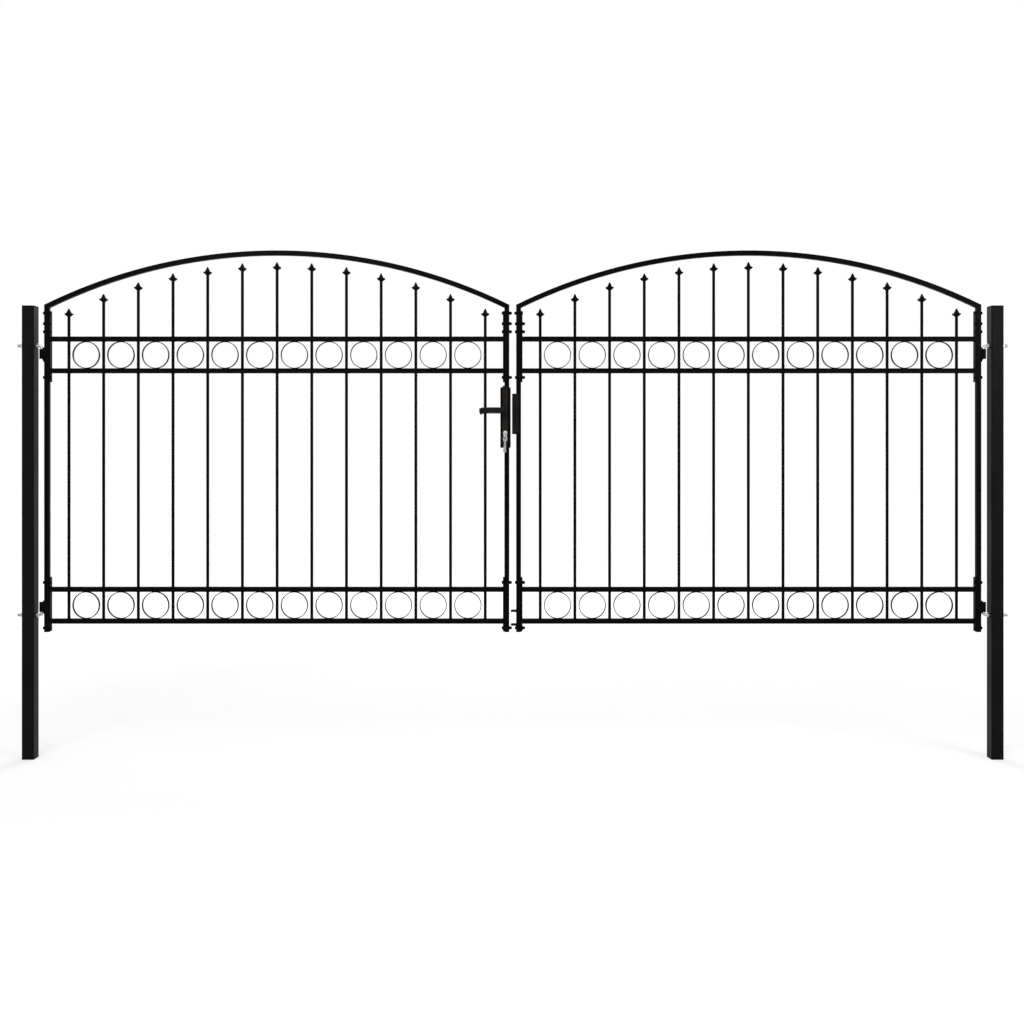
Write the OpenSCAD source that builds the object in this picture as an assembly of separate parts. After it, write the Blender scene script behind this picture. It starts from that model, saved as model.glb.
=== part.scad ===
// Double-leaf steel driveway gate with arched tops, on its two posts.
// Millimetres, +Z up. The origin is the centre of the left post's foot, X runs
// to the right across the gate and Y runs away from the viewer.

/* [Posts] */
// Side of the square post tube
post_size = 50; // [40:1:80]
// Wall of the post tube
post_wall = 2; // [1.5:0.5:4]
// Outer corner radius of the post tube
post_corner = 4; // [3:0.5:8]
// Height of the post over its cap
post_height = 1850; // [1500:10:2200]
// Clear width between the two posts
clear_width = 3900; // [3000:10:5000]
// Thickness of the cap plate on a post
cap_plate = 5; // [3:0.5:12]
// Bevel on the cap plate's rim
cap_bevel = 1.5; // [0.5:0.25:2.5]
// Depth of the cap's plug inside the post
cap_plug = 18; // [10:1:40]
// Wall of the cap's plug
cap_wall = 2.5; // [1.5:0.25:5]

/* [Hinges] */
// Diameter of the hinge bolt
bolt_d = 12; // [10:0.5:16]
// Centreline radius of the bolt's bend
bolt_bend = 12; // [10:0.5:16]
// How far the bolt stands out beyond the post
bolt_tail = 26; // [15:1:50]
// Bevel on the bolt's two ends
bolt_bevel = 1.5; // [0.5:0.25:2.5]
// Clearance of the bolt's hole in the post, on the diameter
bolt_hole_gap = 0.5; // [0.2:0.1:1]
// Height of the lower bolt over the lowest rail
lower_hinge = 25; // [20:1:60]
// Depth of the upper bolt below the top rail
upper_hinge = 28; // [20:1:60]
// Length of the straight pin
pin_length = 38; // [20:1:60]
// Radial running clearance of a turning piece in its hole
pin_clear = 0.08; // [0.02:0.01:0.1]
// Width of the nuts across their flats
nut_flats = 18; // [16:0.5:24]
// Thickness of the nut between post and leaf
inner_nut = 7; // [5:0.5:8]
// Thickness of the nut outside the post
outer_nut = 10; // [6:0.5:14]
// Bare shank between the inner nut and the bend
nut_room = 5; // [3:0.5:10]
// Diameter of a lug's barrel
lug_d = 22; // [18:0.5:30]
// Height of a lug
lug_height = 40; // [25:1:60]
// Gap from the bend to the lug
lug_gap = 1; // [0.5:0.25:4]
// Width of the lug's neck on the stile
lug_neck = 17; // [12:1:20]

/* [Leaves] */
// Gap between the two lock stiles
meeting_gap = 28; // [27:1:40]
// Depth of the arch's corners below the posts' tops
corner_drop = 1; // [-50:1:100]
// Height of the arch's corners over the leaf's foot
leaf_side = 1332; // [1200:1:1500]
// Rise of the arch centreline over its corners
arch_rise = 218; // [100:1:400]
// Length of the arch's legs
arch_leg = 89; // [60:1:120]
// Side of the square tube of stiles and arch
tube_size = 20; // [16:1:40]
// Wall of that tube
tube_wall = 1.5; // [1:0.25:3]
// Outer corner radius of that tube
tube_corner = 2.5; // [2:0.25:4]
// Flange of the plug in a stile's foot
plug_flange = 2.5; // [2:0.5:8]
// Depth of that plug inside the stile
plug_depth = 16; // [8:1:30]
// Wall of that plug
plug_wall = 2; // [1:0.25:4]

/* [Panel] */
// Height of the lowest rail over the leaf's foot
lower_rail = 44; // [43:1:80]
// Depth of the top rail below the arch's corners
top_rail = 134; // [60:1:300]
// Distance between the two rails of a band
band_pitch = 130; // [90:1:160]
// Side of the square rails
rail_size = 20; // [12:1:30]
// Chamfer on the rails' long edges
rail_chamfer = 1.5; // [0.5:0.25:3]
// Spacing of the pickets
picket_pitch = 142; // [140:1:180]
// Least distance from an end plate to the first picket
picket_edge = 60; // [30:1:100]
// Picket diameter
picket_d = 12; // [8:0.5:16]
// Gap from the spear tips to the arch at its crown
tip_gap = 27; // [20:1:60]
// How much wider that gap is at the outermost pickets
tip_flare = 10; // [0:1:30]
// Radial thickness of a ring
ring_bar = 3; // [1.5:0.5:8]
// Depth of a ring
ring_depth = 10; // [6:1:20]
// How far a ring is let into its rails
ring_bite = 0.5; // [0.2:0.1:1]
// Thickness of the end plates
end_plate = 6; // [4:0.5:10]
// Reach of the lower end plates below their rails
plate_drop = 41; // [20:0.5:41]
// Reach of the lower end plates above their rails
plate_over = 50; // [20:1:80]
// Reach of the upper end plates below their rails
plate_under = 46; // [20:1:80]
// Lap of the upper end plates on the arch's legs
leg_lap = 69; // [30:1:80]

/* [Spear heads] */
// Height of a spear head
spear_height = 33; // [30:1:60]
// Width over its two barbs
spear_width = 35; // [20:1:50]
// Thickness at the barbs
spear_depth = 14; // [12:0.5:24]
// Height of its point above the barbs
spear_point = 18; // [10:1:24]
// Width of the point where the barbs start
point_width = 19; // [8:1:20]
// Drop from the point's foot to the barb tips
barb_drop = 4.5; // [3:0.5:10]
// Height of the blunt barb tips
barb_blunt = 6; // [2:0.5:6]
// Width of the blunt tip
tip_width = 3.5; // [1:0.5:4]

/* [Lock] */
// Gap from the upper end plate to the lock case
case_gap = 22; // [5:1:40]
// Height of the lock case
case_height = 247; // [220:1:300]
// Width of the lock case
case_width = 41.5; // [36:0.5:60]
// How far the lock case stands proud of the stile's gap face
case_proud = 5; // [0.5:0.5:6]
// Depth of the lock case
case_depth = 30; // [26:1:50]
// Corner radius of the lock case
case_corner = 2.5; // [1:0.25:4]
// Width of the forend
forend_width = 20; // [16:1:24]
// Distance from the case's top and foot to the forend
forend_inset = 6; // [4:1:20]
// Depth that the forend is let into the case
forend_sink = 1.5; // [1:0.25:3]
// How far the forend stands proud of the case
forend_proud = 1; // [0.5:0.25:2]
// Escutcheon width
plate_width = 23; // [22:0.5:36]
// Escutcheon height
plate_height = 251; // [220:1:300]
// Height of the escutcheon's foot over the case's foot
plate_foot = 2; // [0:1:10]
// Escutcheon thickness
plate_thick = 7; // [4:0.5:12]
// Corner radius of the escutcheon
plate_corner = 5; // [3:0.5:12]
// Bevel round the escutcheon's face
plate_bevel = 1.5; // [0.5:0.25:3]
// Distance from the stile's gap face back to the spindle
backset = 16.5; // [16:0.5:26]
// Height of the spindle over the case's foot
spindle_up = 153; // [130:1:180]
// Side of the square spindle
spindle_size = 8; // [7:0.5:10]
// Depth of the spindle in each lever
spindle_seat = 11.5; // [6:0.5:20]
// Distance from the spindle down to the cylinder
cylinder_drop = 92; // [60:1:100]
// Diameter of the cylinder's round part
cylinder_d = 17; // [16:0.5:18]
// Width of the cylinder's tail
cylinder_tail = 10; // [8:0.5:12]
// Height of the cylinder over round part and tail
cylinder_high = 33; // [28:1:36]
// How far the cylinder stands out of the escutcheon
cylinder_proud = 4; // [1:0.5:6]

/* [Levers] */
// Diameter of the lever's neck
neck_d = 18; // [14:1:24]
// Depth of the neck behind the escutcheon
neck_root = 1; // [0.5:0.5:4]
// Gap from the escutcheon to the back of the lever
finger_gap = 26; // [18:1:40]
// Height of the lever's grip
grip_height = 22; // [12:1:24]
// Depth of the lever's grip
grip_depth = 12; // [10:1:20]
// Edge rounding of the grip
grip_round = 4; // [2:0.5:4.5]
// Straight run of the lever before its end bends down
grip_run = 80; // [60:1:84]
// Centreline radius of the bend at the grip's end
grip_bend = 60; // [50:1:90]
// Angle of that bend before the end is trimmed
grip_droop = 30; // [28:1:40]
// Distance from the spindle to the grip's end
grip_reach = 105; // [98:1:106]
// Radius that the end is rounded to
grip_end = 60; // [58:1:70]
// Diameter of the grip's hub
hub_d = 22; // [20:1:30]
// Bevel on the hub's outer rim
hub_bevel = 2; // [1:0.5:4]

/* [Keys] */
// Key thickness
key_thick = 2.2; // [1.5:0.1:3]
// Height of the key's blade
blade_high = 8; // [6:0.5:9]
// Length of the blade in the lock
blade_in = 24; // [15:1:26]
// Length of the blade below the bow of a spare key
blade_out = 42; // [20:1:45]
// Bare blade between the cylinder and the bow of the key in the lock
blade_neck = 8; // [4:0.5:20]
// Diameter of the bow
bow_d = 22; // [18:0.5:28]
// Diameter of the hole in the bow
bow_hole = 7; // [6:0.5:9]
// Distance from the bow's centre to its hole
bow_hole_off = 5; // [3:0.5:6]
// Diameter of the ring's centreline
ring_d = 17; // [16:1:32]
// Wire of the ring
ring_wire = 1.8; // [1.2:0.1:2.2]
// Slack of the ring's wire in a hole
ring_slack = 0.7; // [0.5:0.1:1]
// Angle that the ring and the keys on it hang round from the gate's face
ring_turn = 45; // [30:1:60]
// Distance between the two spare keys
spare_pitch = 3; // [2.8:0.1:5]
// Angle that each spare key hangs to its side
spare_swing = 5.5; // [2:0.5:15]
// Angle that the pair of spare keys leans
spare_lean = 3.5; // [-10:0.5:10]
// Size of the notches in a blade
notch = 2.4; // [1:0.1:3]

/* [Keep and guides] */
// How far the keep stands into the gap
keep_reach = 16.5; // [16:0.5:24]
// How far its flanges lap onto the stile
keep_lap = 11; // [5:1:18]
// Sheet thickness of the keep
keep_sheet = 3; // [1.5:0.5:4]
// Outer bend radius of the keep
keep_bend = 4; // [3:0.5:8]
// Height of the keep
keep_height = 165; // [120:1:200]
// Distance from the spindle down to the keep's foot
keep_drop = 97; // [80:1:120]
// Height of the slots for latch and bolt
slot_height = 36; // [24:1:50]
// Width of those slots
slot_width = 13; // [8:1:16]
// Height of the latch slot's middle over the spindle
latch_up = 24; // [10:1:40]
// Depth of the bolt slot's middle below the spindle
bolt_down = 42; // [30:1:60]
// Height of the lower guide's middle over the leaf's foot
guide_foot = 30; // [20:0.5:60]
// Distance between the two guides
guide_pitch = 56; // [30:0.5:80]
// Thickness of a guide
guide_thick = 8; // [4:0.5:10]
// How far a guide stands into the gap
guide_reach = 22; // [18:1:24]
// Width of a guide
guide_width = 20; // [16:0.5:20]
// Bore of a guide
guide_bore = 13; // [9:0.5:14]

/* [Hidden] */
$fn = 64;
fit = 0.1;
least_corner = 0.5;
over = 1;
// The bent arch is smooth along its length and three-faceted at its corners
arch_fn = 720;
bend_fn = 12;
// Plan: post, inner nut, bend and lug set the hinge axis and the leaf's side
right_post_x = clear_width + post_size;
gate_mid = right_post_x / 2;
axis_x = post_size / 2 + inner_nut + nut_room + bolt_bend;
leaf_left = axis_x + lug_d / 2;
leaf_right = gate_mid - meeting_gap / 2;
leaf_width = leaf_right - leaf_left;
leaf_mid = (leaf_left + leaf_right) / 2;
hinge_stile_x = leaf_left + tube_size / 2;
lock_stile_x = leaf_right - tube_size / 2;
rail_left = leaf_left + tube_size + end_plate;
rail_right = leaf_right - tube_size - end_plate;
rail_span = rail_right - rail_left;
picket_count = floor((rail_span - 2 * picket_edge) / picket_pitch) + 1;
picket_span = (picket_count - 1) * picket_pitch;
// Heights: the posts' tops set the arch's corners, and these the rest of the leaf
arch_corner = post_height - corner_drop;
leaf_foot = arch_corner - leaf_side;
stile_foot = leaf_foot + plug_flange;
leg_foot = arch_corner - arch_leg;
rail_1 = leaf_foot + lower_rail;
rail_2 = rail_1 + band_pitch;
rail_4 = arch_corner - top_rail;
rail_3 = rail_4 - band_pitch;
upper_plate = [rail_3 - plate_under, leg_foot + leg_lap];
lower_plate = [rail_1 - plate_drop, rail_2 + plate_over];
bolt_low = rail_1 + lower_hinge;
bolt_high = rail_4 - upper_hinge;
lug_off = bolt_bend + lug_gap;
// Arch: a circle through the stiles' centrelines
half_chord = leaf_width / 2 - tube_size / 2;
arch_r = (half_chord * half_chord + arch_rise * arch_rise) / (2 * arch_rise);
arch_centre = arch_corner + arch_rise - arch_r;
arch_angle = asin(half_chord / arch_r);
mitre_angle = (90 - arch_angle) / 2;
band_ring_d = band_pitch - rail_size + 2 * ring_bite;
// Lock: hung below the upper end plate, its forend in the stile's gap face
case_head = upper_plate[0] - case_gap;
case_foot = case_head - case_height;
forend_height = case_height - 2 * forend_inset;
case_right = leaf_right + case_proud;
spindle_x = leaf_right - backset;
spindle_z = case_foot + spindle_up;
cylinder_z = spindle_z - cylinder_drop;
plate_y = case_depth / 2 + plate_thick;
key_face = plate_y + cylinder_proud;
bow_y = key_face + blade_neck + bow_d / 2;
hole_y = bow_y + bow_hole_off;
ring_z = cylinder_z - bow_hole / 2 + ring_wire / 2 + ring_slack - ring_d / 2;
spare_z = ring_z - ring_d / 2 + ring_wire / 2 + ring_slack - bow_hole / 2;
keep_x = 2 * gate_mid - leaf_right;
keep_foot = spindle_z - keep_drop;
far = 2 * clear_width;

// Shared shapes: rounded sections, tube lengths, the right leaf's mirror copy
module rounded_rect(wide, high, corner) {
    square([wide, high - 2 * corner], center = true);
    square([wide - 2 * corner, high], center = true);
    for (sx = [-1, 1], sy = [-1, 1])
        translate([sx * (wide / 2 - corner), sy * (high / 2 - corner)])
            circle(r = corner);
}

module tube_section(side, wall, corner) {
    inside = side - 2 * wall;
    difference() {
        rounded_rect(side, side, corner);
        rounded_rect(inside, inside, max(corner - wall, least_corner));
    }
}

module tube(x, foot, head) {
    translate([x, 0, foot])
        linear_extrude(head - foot)
            tube_section(tube_size, tube_wall, tube_corner);
}

module along_y(depth) {
    rotate([90, 0, 0])
        linear_extrude(depth, center = true)
            children();
}

module on_right() {
    translate([2 * gate_mid, 0, 0])
        mirror([1, 0, 0])
            children();
}

// Posts: square tubes with open feet, bored through for the hinge bolts
module post_tube() {
    difference() {
        linear_extrude(post_height - cap_plate)
            tube_section(post_size, post_wall, post_corner);
        for (z = [bolt_low, bolt_high])
            translate([0, 0, z])
                rotate([0, 90, 0])
                    cylinder(d = bolt_d + bolt_hole_gap, h = post_size + over, center = true);
    }
}

module left_post() {
    post_tube();
}

module right_post() {
    on_right() post_tube();
}

// Post caps: a flat plate with a bevelled rim and a hollow plug in the tube
module cap_side() {
    half = post_size / 2;
    polygon([[-half, 0], [half, 0], [half, cap_plate - cap_bevel],
        [half - cap_bevel, cap_plate], [cap_bevel - half, cap_plate],
        [-half, cap_plate - cap_bevel]]);
}

module post_cap() {
    plug = post_size - 2 * post_wall - 3 * fit;
    translate([0, 0, post_height - cap_plate]) {
        intersection() {
            linear_extrude(cap_plate)
                rounded_rect(post_size, post_size, post_corner);
            along_y(post_size)
                cap_side();
            rotate([0, 0, 90])
                along_y(post_size)
                    cap_side();
        }
        translate([0, 0, -cap_plug])
            linear_extrude(cap_plug)
                tube_section(plug, cap_wall, max(post_corner - post_wall, least_corner));
    }
}

module left_post_cap() {
    post_cap();
}

module right_post_cap() {
    on_right() post_cap();
}

// Hinge bolts: a shank through the post, bent up or down into the pin
module hinge_bolt(z, turn) {
    bend_x = axis_x - bolt_bend;
    tail_x = -post_size / 2 - bolt_tail;
    small_d = bolt_d - 2 * bolt_bevel;
    translate([0, 0, z])
        mirror([0, 0, turn < 0 ? 1 : 0]) {
            translate([tail_x, 0, 0])
                rotate([0, 90, 0])
                    cylinder(d1 = small_d, d2 = bolt_d, h = bolt_bevel);
            translate([tail_x + bolt_bevel, 0, 0])
                rotate([0, 90, 0])
                    cylinder(d = bolt_d, h = bend_x - tail_x - bolt_bevel);
            translate([bend_x, 0, bolt_bend])
                rotate([90, 0, 0])
                    rotate([0, 0, -90])
                        rotate_extrude(angle = 90)
                            translate([bolt_bend, 0])
                                circle(d = bolt_d);
            translate([axis_x, 0, bolt_bend])
                cylinder(d = bolt_d, h = pin_length - bolt_bevel);
            translate([axis_x, 0, bolt_bend + pin_length - bolt_bevel])
                cylinder(d1 = bolt_d, d2 = small_d, h = bolt_bevel);
        }
}

module left_upper_hinge_bolt() {
    hinge_bolt(bolt_high, -1);
}

module left_lower_hinge_bolt() {
    hinge_bolt(bolt_low, 1);
}

module right_upper_hinge_bolt() {
    on_right() left_upper_hinge_bolt();
}

module right_lower_hinge_bolt() {
    on_right() left_lower_hinge_bolt();
}

// Hinge nuts: a thick one outside the post and a thin one inside, per bolt
module hinge_nut(x, z, thick) {
    corner_r = nut_flats / 2 / cos(30);
    flat_r = nut_flats / 2;
    rise = (corner_r - flat_r) * tan(30);
    translate([x, 0, z])
        rotate([0, 90, 0])
            difference() {
                intersection() {
                    cylinder(r = corner_r, h = thick, $fn = 6);
                    rotate_extrude()
                        polygon([[0, 0], [flat_r, 0], [corner_r + rise, 2 * rise],
                            [corner_r + rise, thick - 2 * rise], [flat_r, thick], [0, thick]]);
                }
                translate([0, 0, -over])
                    cylinder(d = bolt_d + 2 * fit, h = thick + 2 * over);
            }
}

module left_hinge_nuts() {
    for (z = [bolt_low, bolt_high]) {
        hinge_nut(-post_size / 2 - outer_nut, z, outer_nut);
        hinge_nut(post_size / 2, z, inner_nut);
    }
}

module right_hinge_nuts() {
    on_right() left_hinge_nuts();
}

// Arches: a bent tube between two short legs, mitred to them
module beyond_mitre(side) {
    translate([leaf_mid + side * half_chord, 0, arch_corner])
        rotate([0, -side * mitre_angle, 0])
            translate([-far / 2, -far / 2, -far])
                cube([far, far, far]);
}

module left_arch() {
    span = 2 * arch_angle + 6;
    difference() {
        translate([leaf_mid, 0, arch_centre])
            rotate([90, 0, 0])
                rotate([0, 0, 90 - span / 2])
                    rotate_extrude(angle = span, $fn = arch_fn)
                        translate([arch_r, 0])
                            tube_section(tube_size, tube_wall, tube_corner, $fn = bend_fn);
        beyond_mitre(-1);
        beyond_mitre(1);
    }
}

module left_arch_legs() {
    for (side = [-1, 1])
        intersection() {
            tube(leaf_mid + side * half_chord, leg_foot, arch_corner + tube_size, $fn = bend_fn);
            beyond_mitre(side);
        }
}

module right_arch() {
    on_right() left_arch();
}

module right_arch_legs() {
    on_right() left_arch_legs();
}

// Stiles: square tubes, the left leaf's lock stile cut for the lock case
module left_hinge_stile() {
    tube(hinge_stile_x, stile_foot, leg_foot);
}

module left_lock_stile() {
    tube(lock_stile_x, stile_foot, case_foot);
    tube(lock_stile_x, case_head, leg_foot);
}

module right_hinge_stile() {
    on_right() left_hinge_stile();
}

module right_lock_stile() {
    on_right() tube(lock_stile_x, stile_foot, leg_foot);
}

// Stile plugs: a thin flange under the tube and a hollow plug inside it
module stile_plug(x) {
    plug = tube_size - 2 * tube_wall - 2 * fit;
    translate([x, 0, leaf_foot])
        linear_extrude(plug_flange)
            rounded_rect(tube_size, tube_size, tube_corner);
    translate([x, 0, stile_foot])
        linear_extrude(plug_depth)
            tube_section(plug, plug_wall, max(tube_corner - tube_wall, least_corner));
}

module left_stile_plugs() {
    stile_plug(hinge_stile_x);
    stile_plug(lock_stile_x);
}

module right_stile_plugs() {
    on_right() left_stile_plugs();
}

// Panel: rails and end plates, pickets with spear heads, two bands of rings
module rail_section() {
    half = rail_size / 2;
    inner = half - rail_chamfer;
    polygon([[-half, -inner], [-inner, -half], [inner, -half], [half, -inner],
        [half, inner], [inner, half], [-inner, half], [-half, inner]]);
}

module rails() {
    for (z = [rail_1, rail_2, rail_3, rail_4])
        translate([rail_left - over, 0, z])
            rotate([90, 0, 90])
                linear_extrude(rail_span + 2 * over)
                    rail_section();
}

module end_plates() {
    for (x = [rail_left - end_plate, rail_right], span = [upper_plate, lower_plate])
        translate([x, -tube_size / 2, span[0]])
            cube([end_plate, tube_size, span[1] - span[0]]);
}

function tip_z(x) = arch_centre
    + sqrt(pow(arch_r - tube_size / 2 - tip_gap, 2) - pow(x - leaf_mid, 2))
    - tip_flare * pow(2 * (x - leaf_mid) / picket_span, 2);

module spear_front() {
    half = spear_width / 2;
    neck = point_width / 2;
    foot = picket_d / 2 - over;
    barb = -spear_point - barb_drop;
    polygon([[-tip_width / 2, 0], [tip_width / 2, 0], [neck, -spear_point],
        [half - barb_blunt / 2, barb + barb_blunt / 2], [half, barb],
        [half - barb_blunt / 2, barb - barb_blunt / 2], [foot, -spear_height],
        [-foot, -spear_height], [barb_blunt / 2 - half, barb - barb_blunt / 2],
        [-half, barb], [barb_blunt / 2 - half, barb + barb_blunt / 2],
        [-neck, -spear_point]]);
}

module spear_side() {
    half = spear_depth / 2;
    foot = picket_d / 2 - over;
    barb = -spear_point - barb_drop;
    polygon([[-tip_width / 2, 0], [tip_width / 2, 0], [half, barb],
        [foot, -spear_height], [-foot, -spear_height], [-half, barb]]);
}

module spear_head() {
    intersection() {
        along_y(2 * spear_depth)
            spear_front();
        rotate([0, 0, 90])
            along_y(2 * spear_width)
                spear_side();
    }
}

module pickets() {
    sunk = picket_d / 3;
    for (i = [0 : picket_count - 1]) {
        x = leaf_mid + (i - (picket_count - 1) / 2) * picket_pitch;
        tip = tip_z(x);
        translate([x, 0, rail_1])
            cylinder(d = picket_d, h = tip - spear_height + sunk - rail_1);
        translate([x, 0, tip])
            spear_head();
    }
}

module rings() {
    for (i = [0 : picket_count - 2], z = [rail_1, rail_3]) {
        x = leaf_mid + (i - (picket_count - 2) / 2) * picket_pitch;
        translate([x, 0, z + band_pitch / 2])
            along_y(ring_depth)
                difference() {
                    circle(d = band_ring_d);
                    circle(d = band_ring_d - 2 * ring_bar);
                }
    }
}

module left_panel() {
    rails();
    end_plates();
    pickets();
    rings();
}

module right_panel() {
    on_right() left_panel();
}

// Hinge lugs: a bored barrel with a neck welded on the hinge stile
module hinge_lug(foot) {
    difference() {
        union() {
            translate([axis_x, 0, foot])
                cylinder(d = lug_d, h = lug_height);
            translate([axis_x, -lug_neck / 2, foot])
                cube([lug_d / 2, lug_neck, lug_height]);
        }
        translate([axis_x, 0, foot - over])
            cylinder(d = bolt_d + 2 * pin_clear, h = lug_height + 2 * over);
    }
}

module left_upper_hinge_lug() {
    hinge_lug(bolt_high - lug_off - lug_height);
}

module left_lower_hinge_lug() {
    hinge_lug(bolt_low + lug_off);
}

module right_upper_hinge_lug() {
    on_right() left_upper_hinge_lug();
}

module right_lower_hinge_lug() {
    on_right() left_lower_hinge_lug();
}

// Lock case and forend: a closed case between the two parts of the lock stile
module cylinder_section(grow) {
    tail = cylinder_tail + 2 * grow;
    reach = cylinder_high - cylinder_d / 2 + grow;
    circle(d = cylinder_d + 2 * grow);
    translate([-tail / 2, -reach])
        square([tail, reach]);
}

module forend_outline(grow) {
    rounded_rect(forend_width + 2 * grow, forend_height + 2 * grow, forend_width / 2 - over);
}

module lock_case() {
    difference() {
        translate([case_right - case_width / 2, 0, case_foot])
            linear_extrude(case_height)
                rounded_rect(case_width, case_depth, case_corner);
        translate([case_right - forend_sink, 0, case_foot + case_height / 2])
            rotate([90, 0, 90])
                linear_extrude(forend_sink + over)
                    forend_outline(fit);
        translate([spindle_x, 0, spindle_z])
            along_y(case_depth + over)
                circle(d = neck_d);
        translate([spindle_x, 0, cylinder_z])
            along_y(case_depth + over)
                cylinder_section(fit);
    }
}

module latch_slots(x, deep, slot_z) {
    for (z = slot_z)
        translate([x, -slot_width / 2, z - slot_height / 2])
            cube([deep, slot_width, slot_height]);
}

module lock_forend() {
    thick = forend_sink + forend_proud;
    difference() {
        translate([case_right - forend_sink, 0, case_foot + case_height / 2])
            rotate([90, 0, 90])
                linear_extrude(thick)
                    forend_outline(0);
        latch_slots(case_right - forend_sink - over, thick + 2 * over,
            [spindle_z + latch_up, spindle_z - bolt_down]);
    }
}

// Escutcheons: long bevelled plates, front and back, for lever neck and cylinder
module bevelled_side(wide) {
    half = wide / 2;
    polygon([[-half, 0], [half, 0], [half, plate_thick - plate_bevel],
        [half - plate_bevel, plate_thick], [plate_bevel - half, plate_thick],
        [-half, plate_thick - plate_bevel]]);
}

module escutcheon_blank() {
    intersection() {
        linear_extrude(plate_thick)
            rounded_rect(plate_width, plate_height, plate_corner);
        along_y(plate_height)
            bevelled_side(plate_width);
        rotate([0, 0, 90])
            along_y(plate_width)
                bevelled_side(plate_height);
    }
}

module front_escutcheon() {
    difference() {
        translate([spindle_x, -case_depth / 2, case_foot + plate_foot + plate_height / 2])
            rotate([90, 0, 0])
                escutcheon_blank();
        translate([spindle_x, -plate_y, spindle_z])
            along_y(4 * plate_thick)
                circle(d = neck_d + 2 * pin_clear);
        translate([spindle_x, -plate_y, cylinder_z])
            along_y(4 * plate_thick)
                cylinder_section(fit);
    }
}

module back_escutcheon() {
    mirror([0, 1, 0]) front_escutcheon();
}

// Levers: a neck that turns in the escutcheon and a grip whose end bends down
module grip_section() {
    rounded_rect(grip_depth, grip_height, grip_round);
}

module grip() {
    intersection() {
        union() {
            translate([-grip_run, 0, 0])
                rotate([90, 0, 90])
                    linear_extrude(grip_run)
                        grip_section();
            translate([-grip_run, 0, -grip_bend])
                rotate([90, 0, 0])
                    rotate([0, 0, 90])
                        rotate_extrude(angle = grip_droop)
                            translate([grip_bend, 0])
                                rotate(90)
                                    grip_section();
        }
        translate([grip_end - grip_reach, 0, 0])
            along_y(2 * grip_depth)
                circle(r = grip_end, $fn = 256);
    }
}

module lever_turning() {
    root_y = case_depth / 2 - neck_root;
    back_y = plate_y + finger_gap;
    face_y = back_y + grip_depth;
    hub_r = hub_d / 2;
    rotate([90, 0, 0])
        rotate_extrude()
            polygon([[0, root_y], [neck_d / 2, root_y], [neck_d / 2, back_y],
                [hub_r - hub_bevel, back_y], [hub_r, back_y + hub_bevel],
                [hub_r, face_y - hub_bevel], [hub_r - hub_bevel, face_y], [0, face_y]]);
    translate([0, -(back_y + face_y) / 2, 0])
        grip();
}

module front_lever() {
    translate([spindle_x, 0, spindle_z])
        difference() {
            lever_turning();
            along_y(2 * (plate_y + spindle_seat + fit))
                square(spindle_size + 2 * fit, center = true);
        }
}

module back_lever() {
    mirror([0, 1, 0]) front_lever();
}

module lever_spindle() {
    translate([spindle_x, 0, spindle_z])
        along_y(2 * (plate_y + spindle_seat))
            square(spindle_size, center = true);
}

// Lock cylinder: one profile through case and plates, with a keyway at the front
module lock_cylinder() {
    way_wide = key_thick + 4 * fit;
    way_high = blade_high + 6 * fit;
    difference() {
        translate([spindle_x, 0, cylinder_z])
            along_y(2 * key_face)
                cylinder_section(0);
        translate([spindle_x - way_wide / 2, -key_face - over, cylinder_z - way_high / 2])
            cube([way_wide, blade_in + 2 * over, way_high]);
    }
}

// Keys: one in the lock, a ring through its bow and two more keys on the ring
module key_outline(neck, blade) {
    difference() {
        union() {
            circle(d = bow_d);
            translate([0, -blade_high / 2])
                square([bow_d / 2 + neck + blade, blade_high]);
        }
        translate([-bow_hole_off, 0])
            circle(d = bow_hole);
        for (i = [0 : 3])
            translate([bow_d / 2 + neck + blade - (i + 0.8) * 2 * notch, blade_high / 2])
                rotate(45)
                    square(notch * (i % 2 == 0 ? 1 : 0.7), center = true);
    }
}

module lock_key() {
    translate([spindle_x, -bow_y, cylinder_z])
        rotate([90, 0, 90])
            linear_extrude(key_thick, center = true)
                key_outline(blade_neck, blade_in);
}

module key_ring() {
    translate([spindle_x, -hole_y, ring_z])
        rotate([0, 0, ring_turn])
            rotate([90, 0, 0])
                rotate_extrude()
                    translate([ring_d / 2, 0])
                        circle(d = ring_wire);
}

module spare_keys() {
    for (side = [-1, 1])
        translate([spindle_x, -hole_y, spare_z])
            rotate([0, 0, ring_turn])
                translate([side * spare_pitch / 2, 0, 0])
                    rotate([90, 0, 90])
                        rotate(-90 + spare_lean + side * spare_swing)
                            translate([bow_hole_off, 0])
                                linear_extrude(key_thick, center = true)
                                    key_outline(0, blade_out);
}

// Keep: a channel over the right leaf's lock stile with two slots for the lock
module keep_section() {
    outer = tube_size + 2 * keep_sheet;
    difference() {
        union() {
            translate([keep_bend - keep_reach, -outer / 2])
                square([keep_reach + keep_lap - keep_bend, outer]);
            translate([-keep_reach, keep_bend - outer / 2])
                square([2 * keep_bend, outer - 2 * keep_bend]);
            for (sy = [-1, 1])
                translate([keep_bend - keep_reach, sy * (outer / 2 - keep_bend)])
                    circle(r = keep_bend);
        }
        translate([keep_sheet - keep_reach, -tube_size / 2])
            square([keep_reach + keep_lap, tube_size]);
    }
}

module lock_keep() {
    difference() {
        translate([keep_x, 0, keep_foot])
            linear_extrude(keep_height)
                keep_section();
        latch_slots(keep_x - keep_reach - over, keep_sheet + 2 * over,
            [spindle_z + latch_up, spindle_z - bolt_down]);
    }
}

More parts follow.
